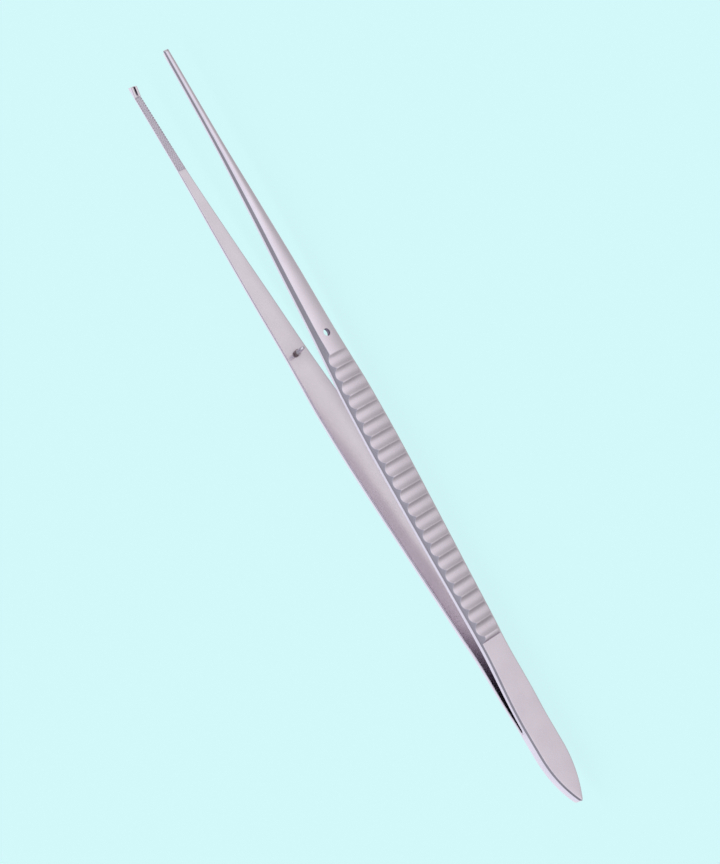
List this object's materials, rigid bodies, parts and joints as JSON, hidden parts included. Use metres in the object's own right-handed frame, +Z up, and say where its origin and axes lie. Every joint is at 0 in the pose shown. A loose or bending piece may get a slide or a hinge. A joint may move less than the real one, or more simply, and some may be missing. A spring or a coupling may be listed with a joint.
{
  "type": "thumb forceps",
  "caption": "Long slender steel thumb forceps with a pointed tail, fluted finger grips, a guide pin and toothed, cross-cut tips that spring apart.",
  "frame": {"origin": "centre of the bounding box at its bottom, on the table under the forceps as it lies on its side", "axes": "+X along the forceps from the tail to the tips, +Z up across the width of the arms, the arms spring apart along Y with the pin arm at +Y and the hole arm at -Y"},
  "size_m": [0.21, 0.0224, 0.0099],
  "materials": {
    "arm_steel": "satin, fine lengthwise grain",
    "pin_steel": "turned, darker"
  },
  "bodies": {
    "root": {"pin_arm": "arm_steel", "hole_arm": "arm_steel", "guide_pin": "pin_steel"}
  },
  "joints": []
}
